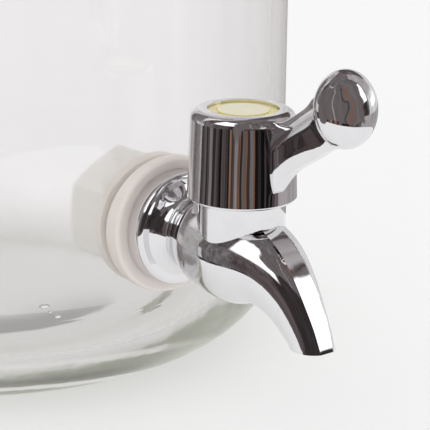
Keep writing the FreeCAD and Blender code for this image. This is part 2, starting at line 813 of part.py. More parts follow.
def make_lever_knob():
    """Thumb knob: flattened ball on a neck that carries on the lever's blade, with a tongue into it."""
    body = new_body("lever_knob")
    lofted(body, "neck", [blade_section(body, f"neck_{index}") for index in range(len(NECK_STATIONS))])
    ball = body.newObject("PartDesign::AdditiveEllipsoid", "ball")
    ball.Placement = Placement(Vector(0, 0, 0), Rotation(Vector(0, 1, 0), 90))
    bind(ball, "Placement.Base.x", "knob_out")
    bind(ball, "Placement.Base.z", "knob_height")
    bind(ball, "Placement.Rotation.Angle", "90 - knob_tilt")
    bind(ball, "Radius1", "ball_thick / 2")
    bind(ball, "Radius2", "ball_radius")
    bind(ball, "Radius3", "ball_half_width")
    padded(body, "tongue", tongue_outline(body, "0"), "tongue_depth", reverse=True)
    set_on_valve(body)
    return body


def make_cap_insert():
    """Plain stepped disc that closes the screw's pocket."""
    body = new_body("cap_insert")
    points = [
        ("0", "0"),
        ("insert_radius", "0"),
        ("insert_radius", "insert_thick"),
        ("insert_step_radius", "insert_thick"),
        ("insert_step_radius", "insert_thick + insert_step"),
        ("0", "insert_thick + insert_step"),
    ]
    turned(body, "disc", points)
    set_on_valve(body, INSERT_SEAT)
    return body


def make_handle_screw():
    """Screw down through the cap into the rotor's shaft, with a cross recess left to its finish."""
    body = new_body("handle_screw")
    points = [
        ("0", "-(screw_web + screw_length) + screw_gap * 4 + screw_washer_thick"),
        ("screw_radius", "-(screw_web + screw_length) + screw_gap * 4 + screw_washer_thick"),
        ("screw_radius", "screw_washer_thick"),
        ("screw_head_radius", "screw_washer_thick"),
        ("screw_head_radius", "screw_washer_thick + screw_head_thick / 2"),
        ("0", "screw_washer_thick + screw_head_thick"),
    ]
    turned(body, "screw", points)
    set_on_valve(body, SCREW_SEAT)
    return body


def make_screw_washer():
    body = new_body("screw_washer")
    profile = new_sketch(body, "XY_Plane", "ring")
    add_circle(profile, "screw_head_radius")
    add_circle(profile, "screw_radius + screw_gap")
    padded(body, "ring_pad", profile, "screw_washer_thick")
    set_on_valve(body, SCREW_SEAT)
    return body


# ---------------------------------------------------------------- lid

LID_UNDERSIDE = "seal_thick"


def make_lid():
    """Pressed sheet lid: shallow dome with a raised centre and a skirt outside the jar's rim."""
    body = new_body("lid")
    inside = "(neck_radius + bead_bulge + lid_gap)"
    outside = f"({inside} + lid_sheet)"
    flat = "lid_washer_radius * 2"
    points = [
        ("lid_screw_radius + screw_gap", f"{LID_UNDERSIDE} + lid_dome"),
        (flat, f"{LID_UNDERSIDE} + lid_dome"),
        (f"{inside} - lid_corner", LID_UNDERSIDE),
        (inside, LID_UNDERSIDE),
        (inside, f"{LID_UNDERSIDE} - lid_skirt"),
        (outside, f"{LID_UNDERSIDE} - lid_skirt"),
        (outside, f"{LID_UNDERSIDE} + lid_sheet - lid_corner / 2"),
        (f"{outside} - lid_corner / 2", f"{LID_UNDERSIDE} + lid_sheet"),
        (f"{inside} - lid_corner", f"{LID_UNDERSIDE} + lid_sheet"),
        (flat, f"{LID_UNDERSIDE} + lid_dome + lid_sheet"),
        ("lid_screw_radius + screw_gap", f"{LID_UNDERSIDE} + lid_dome + lid_sheet"),
    ]
    turned(body, "pressing", points, {6: ("lid_corner / 2", 1, False)})
    set_on_lid(body)
    return body


def make_lid_seal():
    """Flat soft ring under the lid that lies on the jar's rim, with a lip inside the neck."""
    body = new_body("lid_seal")
    neck_inside = "(neck_radius - jar_wall)"
    points = [
        (f"{neck_inside} - seal_thick - seal_gap * 2", "seal_thick"),
        (f"{neck_inside} - seal_thick - seal_gap * 2", "-seal_lip"),
        (f"{neck_inside} - seal_gap * 2", "-seal_lip"),
        (f"{neck_inside} - seal_gap * 2", "0"),
        ("neck_radius", "0"),
        ("neck_radius", "seal_thick"),
    ]
    turned(body, "seal", points)
    set_on_lid(body)
    return body


def make_lid_knob():
    """Turned knob with a foot, a waist and a rounded head."""
    body = new_body("lid_knob")
    head_foot = "knob_foot_thick + knob_neck_height"
    points = [
        ("lid_screw_radius + thread_gap", "0"),
        ("knob_foot_radius", "0"),
        ("knob_foot_radius", "knob_foot_thick"),
        ("knob_neck_radius", head_foot),
        ("knob_radius", "knob_head_height - knob_head_round * 2"),
        ("knob_radius", "knob_head_height - knob_head_round"),
        ("knob_radius - knob_head_round", "knob_head_height"),
        ("0", "knob_head_height"),
        ("0", "lid_screw_length"),
        ("lid_screw_radius + thread_gap", "lid_screw_length"),
    ]
    arcs = {2: ("knob_neck_height", -1, False), 5: ("knob_head_round", 1, False)}
    turned(body, "knob_turning", points, arcs)
    set_on_lid(body, f"{LID_UNDERSIDE} + lid_dome + lid_sheet")
    return body


def make_lid_screw():
    body = new_body("lid_screw")
    points = [
        ("0", "-(lid_washer_thick + lid_screw_head_thick)"),
        ("lid_screw_head_radius", "-(lid_washer_thick + lid_screw_head_thick / 2)"),
        ("lid_screw_head_radius", "-lid_washer_thick"),
        ("lid_screw_radius", "-lid_washer_thick"),
        ("lid_screw_radius", "lid_screw_length - lid_washer_thick"),
        ("0", "lid_screw_length - lid_washer_thick"),
    ]
    turned(body, "screw", points)
    set_on_lid(body, f"{LID_UNDERSIDE} + lid_dome")
    return body


def make_lid_washer():
    body = new_body("lid_washer")
    profile = new_sketch(body, "XY_Plane", "ring", lift="-lid_washer_thick")
    add_circle(profile, "lid_washer_radius")
    add_circle(profile, "lid_screw_radius + screw_gap")
    padded(body, "ring_pad", profile, "lid_washer_thick")
    set_on_lid(body, f"{LID_UNDERSIDE} + lid_dome")
    return body


PIECES = [
    make_glass_jar(),
    make_outer_washer(),
    make_inner_washer(),
    make_stem_nut(),
    make_tap_body(),
    make_port_seal(),
    make_gland_nut(),
    make_valve_plug(),
    make_plug_ring("plug_o_ring_lower", "lower_ring_height"),
    make_plug_ring("plug_o_ring_upper", "upper_ring_height"),
    make_thrust_washer(),
    make_handle_cap(),
    make_lever_knob(),
    make_cap_insert(),
    make_handle_screw(),
    make_screw_washer(),
    make_lid(),
    make_lid_seal(),
    make_lid_knob(),
    make_lid_screw(),
    make_lid_washer(),
]


def check_document():
    """Stop if any object failed to compute or any piece isn't one valid solid."""
    doc.recompute()
    for item in doc.Objects:
        if "Invalid" in item.State or "Error" in item.State:
            raise RuntimeError(f"{item.Name} is {item.State}")
    for piece in PIECES:
        shape = piece.Shape
        if shape.isNull() or not shape.isValid() or len(shape.Solids) != 1:
            raise RuntimeError(f"{piece.Label} is not one valid solid: {len(shape.Solids)} solids")


def write_parts():
    os.makedirs("parts", exist_ok=True)
    for piece in PIECES:
        piece.Shape.exportStep(os.path.join("parts", piece.Label + ".step"))
        print(f"{piece.Label:20s} {piece.Shape.Volume:12.1f} mm3")


check_document()
write_parts()
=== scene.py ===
import json
import math
import random

import bpy
from mathutils import Matrix, Vector


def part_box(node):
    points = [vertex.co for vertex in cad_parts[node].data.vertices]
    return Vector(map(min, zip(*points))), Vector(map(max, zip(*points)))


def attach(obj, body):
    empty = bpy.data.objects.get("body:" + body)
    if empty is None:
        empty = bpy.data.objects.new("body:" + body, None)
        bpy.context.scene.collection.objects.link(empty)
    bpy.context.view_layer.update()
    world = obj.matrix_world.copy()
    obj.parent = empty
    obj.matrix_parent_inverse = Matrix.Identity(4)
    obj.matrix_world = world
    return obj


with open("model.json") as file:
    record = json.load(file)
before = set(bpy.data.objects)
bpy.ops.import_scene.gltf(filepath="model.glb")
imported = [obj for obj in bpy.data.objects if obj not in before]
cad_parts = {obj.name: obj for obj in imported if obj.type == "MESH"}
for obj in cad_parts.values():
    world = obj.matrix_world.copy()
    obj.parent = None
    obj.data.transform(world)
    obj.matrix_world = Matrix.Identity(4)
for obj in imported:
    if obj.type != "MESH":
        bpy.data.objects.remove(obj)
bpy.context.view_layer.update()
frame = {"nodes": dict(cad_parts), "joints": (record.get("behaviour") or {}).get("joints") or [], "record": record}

# Lengths are in metres, apart from the tables and named sizes that say mm
MM = 0.001
scene = bpy.context.scene


# ---------------------------------------------------------------- places taken from the frame

VALVE = Vector(next(j["pos_m"] for j in frame["joints"] if j["name"] == "handle_turn"))
JAR_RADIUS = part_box("glass_jar")[1].x
NUT_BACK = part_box("stem_nut")[1].y
STEM_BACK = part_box("tap_body")[1].y


# ---------------------------------------------------------------- node helpers

def linear(red, green, blue):
    """A display colour, 0 to 255, as the linear colour that shaders take."""
    def one(part):
        part /= 255
        return part / 12.92 if part <= 0.04045 else ((part + 0.055) / 1.055) ** 2.4
    return (one(red), one(green), one(blue), 1.0)


def in_metres(sizes):
    return [size * MM for size in sizes]


def sine(degrees):
    return math.sin(math.radians(degrees))


class Graph:
    """Adds nodes to a tree, so that a material reads as a formula."""

    def __init__(self, tree):
        self.tree = tree
        self.tree.nodes.clear()

    def add(self, kind, inputs=None, **settings):
        made = self.tree.nodes.new("ShaderNode" + kind)
        for name, setting in settings.items():
            setattr(made, name, setting)
        for name, given in (inputs or {}).items():
            self.feed(made.inputs[name], given)
        return made

    def feed(self, socket, given):
        if isinstance(given, bpy.types.NodeSocket):
            self.tree.links.new(given, socket)
        elif isinstance(given, bpy.types.Node):
            self.tree.links.new(given.outputs[0], socket)
        else:
            socket.default_value = given

    def math(self, operation, first, second=0.0, clamp=False):
        made = self.add("Math", {0: first, 1: second}, operation=operation, use_clamp=clamp)
        return made.outputs[0]

    def vector(self, operation, first, second=(0, 0, 0)):
        made = self.add("VectorMath", {0: first, 1: second}, operation=operation)
        return made.outputs["Value" if operation in ("LENGTH", "DOT_PRODUCT") else "Vector"]

    def ramp(self, driver, low, high, to_low=0.0, to_high=1.0):
        """A smooth step between two values of the driver."""
        inputs = {"Value": driver, "From Min": low, "From Max": high, "To Min": to_low, "To Max": to_high}
        return self.add("MapRange", inputs, interpolation_type="SMOOTHSTEP").outputs[0]

    def mix(self, factor, first, second):
        made = self.add("Mix", data_type="RGBA")
        self.feed(made.inputs[0], factor)
        self.feed(made.inputs[6], first)
        self.feed(made.inputs[7], second)
        return made.outputs[2]

    def noise(self, vector, scale, detail=2.0, rough=0.5, distortion=0.0):
        inputs = {"Vector": vector, "Scale": scale, "Detail": detail, "Roughness": rough}
        return self.add("TexNoise", inputs | {"Distortion": distortion}).outputs["Fac"]

    def bump(self, height, strength, distance, below=None):
        """Relief with its distance in metres, over another relief where one is given."""
        inputs = {"Strength": strength, "Distance": distance, "Height": height}
        return self.add("Bump", inputs if below is None else inputs | {"Normal": below})

    def stretched(self, vector, stretch):
        return self.add("Mapping", {"Vector": vector, "Scale": stretch}).outputs[0]

    def place(self, stretch=(1, 1, 1)):
        """Object coordinates, stretched."""
        return self.stretched(self.add("TexCoord").outputs["Object"], stretch)

    def parts(self, vector):
        return self.add("SeparateXYZ", {0: vector}).outputs

    def level(self, vector):
        """The vector without its upward part."""
        return self.vector("MULTIPLY", vector, (1, 1, 0))

    def azimuth(self, vector):
        """Radians round an upright axis: 0 is straight out from the tap, and +X is positive."""
        parts = self.parts(vector)
        return self.math("ARCTAN2", parts["X"], self.math("MULTIPLY", parts["Y"], -1.0))


def new_material(name):
    material = bpy.data.materials.new(name)
    material.use_nodes = True
    return material, Graph(material.node_tree)


def finish_material(graph, shader, volume=None):
    out = graph.add("OutputMaterial", {"Surface": shader})
    if volume is not None:
        graph.feed(out.inputs["Volume"], volume)


# ---------------------------------------------------------------- materials of the object

FINE_GRAIN = 0.0002

# Depths under the stem's axis, in mm, between which the plating's orange peel gets coarse
COARSE_PEEL = (17, 12)


def chrome(name, tone, rough=0.03, wobble=0.07):
    """Bright plating on a moulding: slow waves, an orange-peel grain lower down and a trace of handling."""
    material, g = new_material(name)
    where = g.place()
    waves = g.noise(g.place((1.0, 1.0, 0.45)), scale=190, detail=0)
    peel = g.noise(where, scale=1500)
    hands = g.ramp(g.noise(where, scale=60, detail=4, rough=0.6), 0.5, 0.75)
    grain = g.ramp(peel, 0.35, 0.65, rough * 0.6, rough * 1.4)
    smear = g.math("MULTIPLY", hands, 0.025)
    tint = g.mix(hands, linear(*tone), linear(*(part - 6 for part in tone)))
    slow = g.bump(waves, wobble, 0.0012)
    lowest, highest = (VALVE.z - depth for depth in in_metres(COARSE_PEEL))
    low = g.ramp(g.parts(where)["Z"], lowest, highest, 1.0, 0.1)
    fine = g.bump(peel, g.math("MULTIPLY", low, 0.02), FINE_GRAIN, slow)
    inputs = {"Base Color": tint, "Metallic": 1.0, "Roughness": g.math("ADD", grain, smear), "Normal": fine}
    finish_material(g, g.add("BsdfPrincipled", inputs))
    return material


# Where the glass changes, as heights in mm from the ground
HEEL_CREASES = (8, 50)
HEEL_HAZE = (12, 40)
HAZE_BAND_FOOT = (22, 32)
HAZE_BAND_HEAD = (55, 90)
FOOT_SHADE = (6, 35)
# Depths in the wall in mm, between which its outside becomes its inside
INSIDE_DEPTH = (2.6, 2.0)
# Light that has been reflected more often than this leaves the glass
CAUGHT = 6.5


def glass_haze(g, where, height):
    """Roughness of the glass: a band on the inside of the wall, and the heel."""
    radius = g.vector("LENGTH", g.level(where))
    inside = g.ramp(radius, *(JAR_RADIUS - depth for depth in in_metres(INSIDE_DEPTH)), 1.0, 0.0)
    head = g.ramp(height, *in_metres(HAZE_BAND_HEAD), 0.17, 0.0)
    band = g.math("MULTIPLY", g.ramp(height, *in_metres(HAZE_BAND_FOOT)), head)
    heel = g.ramp(height, *in_metres(HEEL_HAZE), 0.06, 0.0)
    return g.math("ADD", g.math("MAXIMUM", g.math("MULTIPLY", band, inside), heel), 0.01)


def clear_glass():
    """White glass: slow waves of a blown wall, wrinkles near the heel and a trace of green in its depth."""
    material, g = new_material("clear_glass")
    where = g.place()
    height = g.parts(where)["Z"]
    waves = g.noise(g.place((1.0, 1.0, 0.3)), scale=22, detail=1)
    wrinkles = g.noise(g.place((1.0, 1.0, 0.4)), scale=120, detail=3, rough=0.55)
    creased = g.math("MULTIPLY", g.ramp(height, *in_metres(HEEL_CREASES), 1.0, 0.0), 0.07)
    relief = g.bump(wrinkles, g.math("ADD", creased, 0.012), 0.001, g.bump(waves, 0.07, 0.004))
    inputs = {"Base Color": (1.0, 0.99, 1.0, 1), "Roughness": glass_haze(g, where, height), "IOR": 1.5,
              "Transmission Weight": 1.0, "Normal": relief}
    glass = g.add("BsdfPrincipled", inputs)

    # shadows and diffuse light pass straight through, dimmed most at the foot
    shade = g.ramp(height, *in_metres(FOOT_SHADE))
    clear = g.add("BsdfTransparent", {"Color": g.mix(shade, (0.66, 0.66, 0.62, 1), (0.99, 0.99, 0.99, 1))})
    path = g.add("LightPath").outputs
    passing = g.math("MAXIMUM", path["Is Shadow Ray"], path["Is Diffuse Ray"])
    # so does light that is caught in the thick heel, once it has been reflected often enough
    passing = g.math("MAXIMUM", passing, g.math("GREATER_THAN", path["Glossy Depth"], CAUGHT))
    surface = g.add("MixShader", {0: passing, 1: glass, 2: clear})
    body = g.add("VolumeAbsorption", {"Color": (0.60, 0.62, 0.50, 1), "Density": 12.0})
    finish_material(g, surface, body)
    return material


def soft_silicone():
    """Milky rubber: satin, a little cloudy."""
    material, g = new_material("silicone")
    where = g.place()
    cloud = g.noise(where, scale=130, detail=3)
    tint = g.mix(cloud, linear(224, 215, 209), linear(231, 224, 219))
    grain = g.bump(g.noise(where, scale=1500), 0.05, 0.0003)
    inputs = {"Base Color": tint, "Roughness": 0.36, "Subsurface Weight": 0.5, "Subsurface Scale": 0.003,
              "Subsurface Radius": (1, 1, 1), "IOR": 1.41, "Normal": grain}
    finish_material(g, g.add("BsdfPrincipled", inputs))
    return material


PLASTIC_ROUGHNESS = 0.35


def moulded_plastic(name, tone):
    """Injection-moulded plastic with a fine spark-eroded grain and slight flow marks."""
    material, g = new_material(name)
    flow = g.noise(g.place((1.0, 1.0, 3.0)), scale=120, distortion=0.4)
    tint = g.mix(flow, linear(*tone), linear(*(part * 0.965 for part in tone)))
    grain = g.bump(g.noise(g.place(), scale=2400), 0.05, FINE_GRAIN)
    wear = g.ramp(flow, 0.3, 0.7, PLASTIC_ROUGHNESS * 0.85, PLASTIC_ROUGHNESS * 1.15)
    inputs = {"Base Color": tint, "Roughness": wear, "Subsurface Weight": 0.3, "Subsurface Scale": 0.005,
              "Subsurface Radius": (1, 1, 1), "Normal": grain}
    finish_material(g, g.add("BsdfPrincipled", inputs))
    return material


def black_rubber():
    """Dark rubber with a fine grain and a pale bloom."""
    material, g = new_material("black_rubber")
    where = g.place()
    bloom = g.ramp(g.noise(where, scale=220, detail=3), 0.45, 0.8)
    tint = g.mix(bloom, linear(38, 38, 39), linear(60, 60, 61))
    grain = g.bump(g.noise(where, scale=1800, detail=3), 0.12, FINE_GRAIN)
    finish_material(g, g.add("BsdfPrincipled", {"Base Color": tint, "Roughness": 0.62, "Normal": grain}))
    return material


def brushed_steel():
    """Plain steel with fine lines round its axis."""
    material, g = new_material("steel")
    lines = g.noise(g.place((1.0, 1.0, 26.0)), scale=420)
    grain = g.ramp(lines, 0.3, 0.7, 0.2, 0.32)
    inputs = {"Base Color": linear(196, 196, 198), "Metallic": 1.0, "Roughness": grain,
              "Normal": g.bump(lines, 0.08, FINE_GRAIN)}
    finish_material(g, g.add("BsdfPrincipled", inputs))
    return material


# Radii in mm, between which the insert's ring becomes its raised middle
INSERT_STEP = (6.1, 5.8)


def two_tone_insert():
    """Yellow moulding, paler on its raised middle, with a fine grain."""
    material, g = new_material("insert_yellow")
    where = g.place()
    radius = g.vector("LENGTH", g.level(g.vector("ADD", where, tuple(-VALVE))))
    cloud = g.noise(where, scale=260, detail=3)
    ring = g.mix(cloud, linear(228, 214, 142), linear(236, 226, 164))
    middle = g.mix(cloud, linear(232, 225, 196), linear(240, 233, 206))
    tint = g.mix(g.ramp(radius, *in_metres(INSERT_STEP)), ring, middle)
    grain = g.bump(g.noise(where, scale=1900), 0.05, FINE_GRAIN)
    inputs = {"Base Color": tint, "Roughness": 0.27, "Subsurface Weight": 0.2, "Subsurface Scale": 0.001,
              "Subsurface Radius": (1, 1, 1), "Normal": grain}
    finish_material(g, g.add("BsdfPrincipled", inputs))
    return material


def trapped_air():
    """A bubble in the glass: its own surface, seen from the glass side."""
    material, g = new_material("trapped_air")
    skin = g.bump(g.noise(g.place(), scale=900), 0.1, FINE_GRAIN)
    inputs = {"Base Color": (1, 1, 1, 1), "Roughness": 0.0, "IOR": 0.667, "Transmission Weight": 1.0,
              "Normal": skin}
    finish_material(g, g.add("BsdfPrincipled", inputs))
    return material


AIR = trapped_air()
CHROME = chrome("tap_chrome", (234, 233, 235))
MATERIALS = {
    "clear_glass": clear_glass(),
    "tap_chrome": CHROME,
    "silicone": soft_silicone(),
    "white_plastic": moulded_plastic("white_plastic", (236, 233, 230)),
    "insert_yellow": two_tone_insert(),
    "valve_plastic": moulded_plastic("valve_plastic", (238, 238, 234)),
    "black_rubber": black_rubber(),
    "steel": brushed_steel(),
    "lid_metal": chrome("lid_metal", (226, 226, 228), rough=0.06, wobble=0.03),
}

for part in frame["record"]["subparts"]:
    cad = frame["nodes"][part["node"]]
    cad.data.materials.clear()
    cad.data.materials.append(MATERIALS[part["material_slot"]])


# ---------------------------------------------------------------- fine pieces on the frame

def new_object(name, points, faces, material):
    mesh = bpy.data.meshes.new(name)
    mesh.from_pydata(points, [], faces)
    mesh.materials.append(material)
    made = bpy.data.objects.new(name, mesh)
    scene.collection.objects.link(made)
    return made


def new_piece(name, points, faces, material, body):
    """A smooth piece that rides on a body."""
    piece = new_object(name, points, faces, material)
    piece.data.validate()
    for face in piece.data.polygons:
        face.use_smooth = True
    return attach(piece, body)


# The thread on the stem, in mm: radii, pitch, half width at the root, and how far it stays from the
# nut and from the stem's end. Its crest has a share of its root's width.
THREAD_ROOT = 8.15
THREAD_CREST = 8.66
THREAD_PITCH = 1.5
THREAD_HALF = 0.52
THREAD_FROM_NUT = 0.6
THREAD_FROM_END = 1.5
CREST_SHARE = 0.3
# At each end the thread runs out over one of this many parts of its length, down to a least width
RUN_OUT_PARTS = 6
LEAST_WIDTH = 0.2
THREAD_STEPS = 72


def stem_thread():
    """The moulded thread where it shows past the nut, run out at both ends."""
    first, last = NUT_BACK + THREAD_FROM_NUT * MM, STEM_BACK - THREAD_FROM_END * MM
    turns = (last - first) / (THREAD_PITCH * MM)
    root, half = THREAD_ROOT * MM, THREAD_HALF * MM
    points = []
    for step in range(THREAD_STEPS + 1):
        share = step / THREAD_STEPS
        angle = share * turns * math.tau
        middle = first + (last - first) * share
        fade = min(1.0, share * RUN_OUT_PARTS, (1 - share) * RUN_OUT_PARTS)
        width = max(fade, LEAST_WIDTH)
        crest = root + (THREAD_CREST - THREAD_ROOT) * MM * fade
        outline = ((root, -half), (crest, -half * CREST_SHARE), (crest, half * CREST_SHARE), (root, half))
        for radius, along in outline:
            points.append((VALVE.x + radius * math.cos(angle), middle + along * width,
                           VALVE.z + radius * math.sin(angle)))
    faces = []
    for step in range(THREAD_STEPS):
        here, after = step * 4, step * 4 + 4
        for side in range(4):
            nearby = (side + 1) % 4
            faces.append((here + side, here + nearby, after + nearby, after + side))
    faces += [(3, 2, 1, 0), tuple(THREAD_STEPS * 4 + side for side in range(4))]
    return new_piece("stem_thread", points, faces, CHROME, "jar")


# Bubbles in the glass: azimuth in degrees, then in mm the height above the foot, depth from the
# outside, half width and half height
BUBBLES = [
    (-21.8, 30.0, 2.4, 1.3, 0.55),
    (-19.6, 27.1, 2.2, 1.0, 0.45),
    (-20.8, 28.4, 2.6, 0.5, 0.3),
    (34.0, 120.0, 2.2, 0.45, 0.8),
    (-47.0, 171.0, 2.0, 0.4, 0.7),
    (118.0, 88.0, 2.3, 0.5, 0.9),
    (-150.0, 140.0, 2.2, 0.4, 0.75),
]
BUBBLE_RINGS = 10
BUBBLE_SIDES = 18
# A bubble's half depth in the wall, as a share of its smaller half size
BUBBLE_DEPTH = 0.8


def glass_bubble(index, azimuth, height, depth, half_wide, half_tall):
    """A flattened bubble that lies along the wall."""
    azimuth = math.radians(azimuth)
    outward = Vector((math.sin(azimuth), -math.cos(azimuth), 0))
    sideways = Vector((math.cos(azimuth), math.sin(azimuth), 0))
    centre = outward * (JAR_RADIUS - depth * MM) + Vector((0, 0, height * MM))
    half_deep = min(half_wide, half_tall) * BUBBLE_DEPTH
    points = [centre - Vector((0, 0, half_tall * MM))]
    for ring in range(1, BUBBLE_RINGS):
        polar = math.pi * ring / BUBBLE_RINGS
        for side in range(BUBBLE_SIDES):
            turn = math.tau * side / BUBBLE_SIDES
            points.append(centre + sideways * (half_wide * MM * math.sin(polar) * math.cos(turn))
                          + outward * (half_deep * MM * math.sin(polar) * math.sin(turn))
                          - Vector((0, 0, half_tall * MM * math.cos(polar))))
    points.append(centre + Vector((0, 0, half_tall * MM)))

    bottom, top = 0, len(points) - 1
    next_side = [(side + 1) % BUBBLE_SIDES for side in range(BUBBLE_SIDES)]
    faces = [(bottom, 1 + after, 1 + side) for side, after in enumerate(next_side)]
    for ring in range(BUBBLE_RINGS - 2):
        low = 1 + ring * BUBBLE_SIDES
        high = low + BUBBLE_SIDES
        faces += [(low + side, low + after, high + after, high + side)
                  for side, after in enumerate(next_side)]
    last = top - BUBBLE_SIDES
    faces += [(last + side, last + after, top) for side, after in enumerate(next_side)]
    return new_piece(f"glass_bubble_{index}", points, faces, AIR, "jar")


stem_thread()
for index, bubble in enumerate(BUBBLES, 1):
    glass_bubble(index, *bubble)


# ---------------------------------------------------------------- floor and sheet

FLOOR_DROP = 0.0003
FLOOR_RADIUS = 30.0
FLAT_SIDES = 120
# How far the white sheet reaches from the tap, in mm: a middle value, and how much more it is at one azimuth
SHEET_REACH = 216
SHEET_LEAN = 24
SHEET_LEAN_AZIMUTH = -30
GLOW = 0.5
# The crescent of shade inside the foot: the side it lies on, its inner and outer fades as radii in mm,
# its fade along that side in mm, and its depth
SHADE_SIDE = (-0.35, -0.94, 0)
SHADE_INNER = (6, 32)
SHADE_OUTER = (37, 39.5)
SHADE_ALONG = (-6, 26)
SHADE_DEPTH = 0.62


def sheet_reach(azimuth):
    """How far the sheet reaches at an azimuth."""
    return (SHEET_REACH + SHEET_LEAN * math.cos(math.radians(azimuth - SHEET_LEAN_AZIMUTH))) * MM


def flat_shape(name, centre, reach, height):
    """A level polygon; reach(azimuth) is how far it goes from the centre."""
    points = []
    for side in range(FLAT_SIDES):
        azimuth = 360 * side / FLAT_SIDES - 180
        turn = math.radians(azimuth)
        points.append((centre.x + reach(azimuth) * math.sin(turn),
                       centre.y - reach(azimuth) * math.cos(turn), height))
    disc = new_object(name, points, [range(FLAT_SIDES)], PAPER)
    return disc


def white_paper():
    """Matt white, with some light of its own, and a crescent of shade that the jar's thick bottom throws."""
    material, g = new_material("white_paper")
    where = g.place()
    tint = g.mix(g.noise(where, scale=4, detail=3), linear(177, 177, 177), linear(176, 176, 176))
    across = g.level(where)
    radius = g.vector("LENGTH", across)
    inner = g.ramp(radius, *in_metres(SHADE_INNER))
    outer = g.ramp(radius, *in_metres(SHADE_OUTER), 1.0, 0.0)
    along = g.ramp(g.vector("DOT_PRODUCT", across, SHADE_SIDE), *in_metres(SHADE_ALONG), 0.0, SHADE_DEPTH)
    shade = g.math("MULTIPLY", g.math("MULTIPLY", inner, outer), along)
    tint = g.mix(shade, tint, (0, 0, 0, 1))
    strength = g.math("SUBTRACT", GLOW, g.math("MULTIPLY", shade, GLOW))
    glow = g.add("Emission", {"Color": (1, 1, 1, 1), "Strength": strength})
    matt = g.add("AddShader", {0: g.add("BsdfDiffuse", {"Color": tint}), 1: glow})
    # light that the glass has reflected inside itself goes on to the room
    path = g.add("LightPath").outputs
    beyond = g.math("MULTIPLY", path["Is Transmission Ray"], path["Glossy Depth"], clamp=True)
    finish_material(g, g.add("MixShader", {0: beyond, 1: matt, 2: g.add("BsdfTransparent")}))
    return material


def only_mirrored(thing):
    """Only reflected light sees the thing."""
    for ray in ("camera", "diffuse", "transmission", "volume_scatter", "shadow"):
        setattr(thing, "visible_" + ray, False)


PAPER = white_paper()

# Polished metal sees only the white sheet round the tap, and the room past its edge.
floor = flat_shape("floor", Vector((0, 0, 0)), lambda azimuth: FLOOR_RADIUS, -FLOOR_DROP)
floor.visible_glossy = False
sheet = flat_shape("sheet", VALVE, sheet_reach, -FLOOR_DROP / 2)
only_mirrored(sheet)
sheet.visible_transmission = True


# ---------------------------------------------------------------- the room

# Plain paints for the unseen room and its cloth
PAINTS = {
    "black": (20, 20, 20),
    "charcoal": (60, 55, 55),
    "taupe": (95, 85, 85),
    "stone": (120, 115, 115),
    "oak": (130, 95, 75),
    "dove": (180, 175, 175),
    "white": (225, 225, 225),
    "lamp": (320, 320, 320),
}
# What polished metal sees of the room, in degrees: azimuth 0 is straight out from the tap and 90 to
# its right. Azimuth of the middle, half width, lowest and highest elevation, blur, paint.
STUDIO = {
    "ceiling": (0, 180, 60, 90, 14, "stone"),
    "backdrop": (112, 48, -40, 20, 4, "white"),
    "left_wall": (-132, 42, -40, 26, 6, "stone"),
    "left_card": (-144, 11, -10.6, 5, 1, "white"),
    "left_bench": (-88, 18, -8, 22, 6, "taupe"),
    "dark_arc": (-20, 52, -8, 44, 8, "charcoal"),
    "dark_core": (10, 14, 12, 28, 6, "black"),
    "dark_door": (47, 11, -9, 10, 3, "charcoal"),
    "left_softbox": (-85, 25, 28, 64, 5, "lamp"),
    "far_panel": (79, 18, 12, 60, 5, "dove"),
    "right_softbox": (49, 11, 9, 38, 2, "lamp"),
    "side_window": (84, 12, -2, 6, 3, "lamp"),
}
ALL_ROUND = 180
STRAIGHT_UP = 90

# The low things past the edge of the sheet: upright boards, in zones of a few paints each. A zone of one
# paint is one board; elsewhere the boards' widths in degrees and their shades are random.
BOARDS_TOP = (-10.0, -8.0)
ZONES = [
    (-180, ("dove",)),
    (-170, ("stone", "charcoal", "taupe")),
    (-95, ("charcoal", "black", "taupe")),
    (-70, ("oak", "charcoal", "stone")),
    (-15, ("black", "charcoal")),
    (30, ("taupe",)),
    (40, ("dove",)),
]
BOARD_WIDTHS = (4, 8)
BOARD_SHADES = (0.85, 1.15)
BOARD_SEED = 5
STOPS_PER_RAMP = 30
DAYLIGHT = 0.98
# How much of the room turns to daylight when it is seen through glass, and the ways to the back, as
# parts of a unit vector, for which it doesn't
THROUGH_GLASS = 0.62
BACK_X = (0.1, 0.2)
BACK_Y = (0.6, 0.7)


def patch_mask(g, level_way, height, middle, half, bottom, top, blur):
    """Where a patch of the room lies."""
    soft = blur / 2
    middle = math.radians(middle)
    centre = (math.sin(middle), -math.cos(middle), 0)
    along = g.vector("DOT_PRODUCT", level_way, centre)
    outer, inner = (math.cos(math.radians(half + side * soft)) for side in (1, -1))
    beside = 1.0 if half == ALL_ROUND else g.ramp(along, outer, inner)
    above = g.ramp(height, sine(bottom - soft), sine(bottom + soft))
    below = 1.0 if top == STRAIGHT_UP else g.ramp(height, sine(top - soft), sine(top + soft), 1.0, 0.0)
    return g.math("MULTIPLY", g.math("MULTIPLY", above, below), beside)


def paint(name, shade=1.0):
    """One of the paints, lighter or darker."""
    return linear(*(part * shade for part in PAINTS[name]))


def all_boards():
    """Where each board starts, in degrees, and its colour."""
    draw = random.Random(BOARD_SEED)
    ends = [start for start, _ in ZONES[1:]] + [ALL_ROUND]
    boards = []
    for (start, paints), end in zip(ZONES, ends):
        count = 0
        while start < end:
            boards.append((start, paint(paints[count % len(paints)], draw.uniform(*BOARD_SHADES))))
            start += draw.uniform(*BOARD_WIDTHS) if len(paints) > 1 else end - start
            count += 1
    return boards


